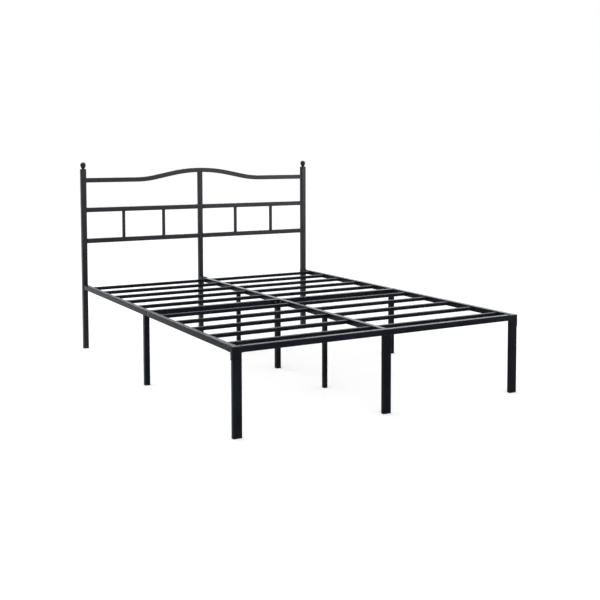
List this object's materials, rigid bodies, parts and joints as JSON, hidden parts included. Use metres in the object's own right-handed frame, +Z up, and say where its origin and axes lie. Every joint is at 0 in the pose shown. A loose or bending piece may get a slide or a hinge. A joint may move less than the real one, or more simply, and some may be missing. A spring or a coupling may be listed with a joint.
{
  "type": "bed frame",
  "caption": "Black metal bed frame: square-tube headboard with an arched top rail, spindles and ball finials, over a slatted deck on tube legs.",
  "frame": {"origin": "on the floor, under the middle of the frame's overall length and width", "axes": "+X to the right seen from the foot, +Y from the foot to the headboard, +Z up"},
  "size_m": [1.4308, 1.9485, 1.037],
  "materials": {
    "black_powder_coat": "satin black powder coat on steel tube",
    "black_hardware": "black-zinc steel",
    "black_plastic": "moulded black plastic"
  },
  "bodies": {
    "root": {"headboard_post_left": "black_powder_coat", "headboard_post_right": "black_powder_coat", "headboard_centre_post": "black_powder_coat", "headboard_top_rail": "black_powder_coat", "headboard_middle_rail_left": "black_powder_coat", "headboard_middle_rail_right": "black_powder_coat", "headboard_lower_rail_left": "black_powder_coat", "headboard_lower_rail_right": "black_powder_coat", "headboard_spindles_left": "black_powder_coat", "headboard_spindles_right": "black_powder_coat", "side_rail_left_head": "black_powder_coat", "side_rail_left_foot": "black_powder_coat", "side_rail_right_head": "black_powder_coat", "side_rail_right_foot": "black_powder_coat", "centre_rail_head": "black_powder_coat", "centre_rail_foot": "black_powder_coat", "middle_beam": "black_powder_coat", "foot_rail": "black_powder_coat", "middle_leg_left": "black_powder_coat", "middle_leg_centre": "black_powder_coat", "middle_leg_right": "black_powder_coat", "support_leg_foot": "black_powder_coat", "support_leg_head": "black_powder_coat", "foot_leg_left": "black_powder_coat", "foot_leg_centre": "black_powder_coat", "foot_leg_right": "black_powder_coat", "corner_plate_left": "black_powder_coat", "corner_plate_right": "black_powder_coat", "angle_brackets": "black_powder_coat", "head_joint_straps": "black_powder_coat", "saddle_bracket": "black_powder_coat", "slat_left_1": "black_powder_coat", "slat_left_2": "black_powder_coat", "slat_left_3": "black_powder_coat", "slat_left_4": "black_powder_coat", "slat_left_5": "black_powder_coat", "slat_left_6": "black_powder_coat", "slat_left_7": "black_powder_coat", "slat_left_8": "black_powder_coat", "slat_left_9": "black_powder_coat", "slat_left_10": "black_powder_coat", "slat_right_1": "black_powder_coat", "slat_right_2": "black_powder_coat", "slat_right_3": "black_powder_coat", "slat_right_4": "black_powder_coat", "slat_right_5": "black_powder_coat", "slat_right_6": "black_powder_coat", "slat_right_7": "black_powder_coat", "slat_right_8": "black_powder_coat", "slat_right_9": "black_powder_coat", "slat_right_10": "black_powder_coat", "rail_splice_left": "black_hardware", "rail_splice_right": "black_hardware", "frame_bolts": "black_hardware", "slat_screws": "black_hardware", "finial_left": "black_plastic", "finial_right": "black_plastic", "foot_glides": "black_plastic", "leg_caps": "black_plastic", "slat_end_plugs": "black_plastic"}
  },
  "joints": []
}
